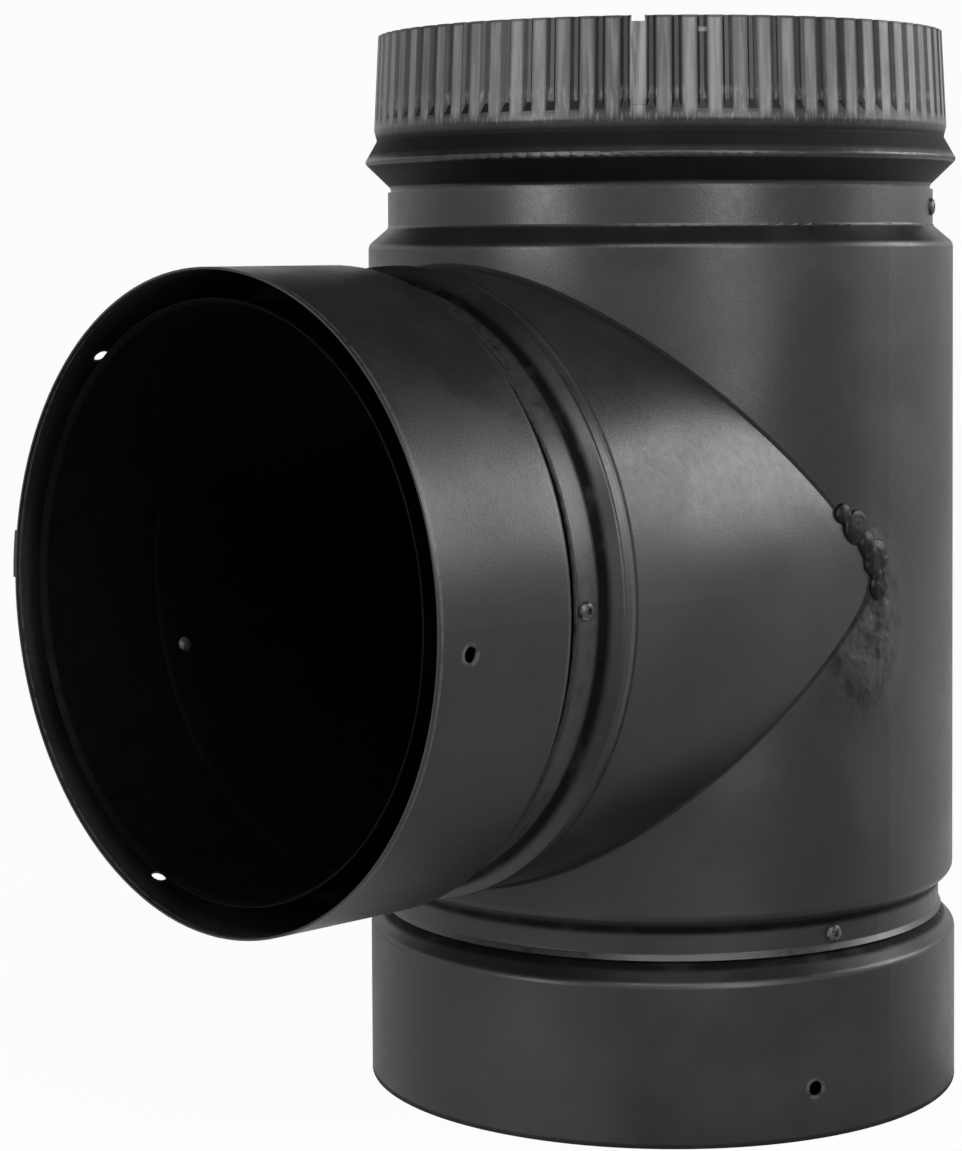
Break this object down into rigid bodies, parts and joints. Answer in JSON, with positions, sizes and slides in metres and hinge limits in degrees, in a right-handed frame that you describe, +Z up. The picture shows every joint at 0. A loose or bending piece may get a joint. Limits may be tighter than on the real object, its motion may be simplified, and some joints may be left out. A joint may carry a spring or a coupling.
{
  "type": "stove pipe tee",
  "caption": "Double-wall black stove pipe tee: a straight run with a crimped top spigot, a socket at the bottom and a branch with a socket at a right angle.",
  "frame": {"origin": "centre of the run's bottom rim, on the plane that the tee stands on", "axes": "+Z up the straight run towards the crimped spigot, -Y along the branch out of its mouth, +X to the right of the branch seen from its mouth"},
  "size_m": [0.1742, 0.2564, 0.3048],
  "materials": {
    "casing_paint": "satin",
    "liner_enamel": "matte",
    "rivet_paint": "satin",
    "liner_rivet": "satin",
    "standoff_steel": "dull",
    "weld_paint": "satin"
  },
  "bodies": {
    "root": {"run_casing": "casing_paint", "branch_casing": "casing_paint", "bottom_collar": "casing_paint", "branch_collar": "casing_paint", "crimped_spigot": "casing_paint", "run_liner": "liner_enamel", "branch_liner": "liner_enamel", "bottom_liner_collar": "liner_enamel", "branch_liner_collar": "liner_enamel", "bottom_rivet_1": "rivet_paint", "bottom_rivet_2": "rivet_paint", "top_rivet_1": "rivet_paint", "top_rivet_2": "rivet_paint", "branch_rivet_1": "rivet_paint", "branch_rivet_2": "rivet_paint", "bottom_liner_rivet_1": "liner_rivet", "bottom_liner_rivet_2": "liner_rivet", "branch_liner_rivet_1": "liner_rivet", "branch_liner_rivet_2": "liner_rivet", "bottom_standoff_1": "standoff_steel", "bottom_standoff_2": "standoff_steel", "bottom_standoff_3": "standoff_steel", "top_standoff_1": "standoff_steel", "top_standoff_2": "standoff_steel", "top_standoff_3": "standoff_steel", "branch_standoff_1": "standoff_steel", "branch_standoff_2": "standoff_steel", "branch_standoff_3": "standoff_steel", "crotch_weld_right": "weld_paint", "crotch_weld_left": "weld_paint"}
  },
  "joints": []
}
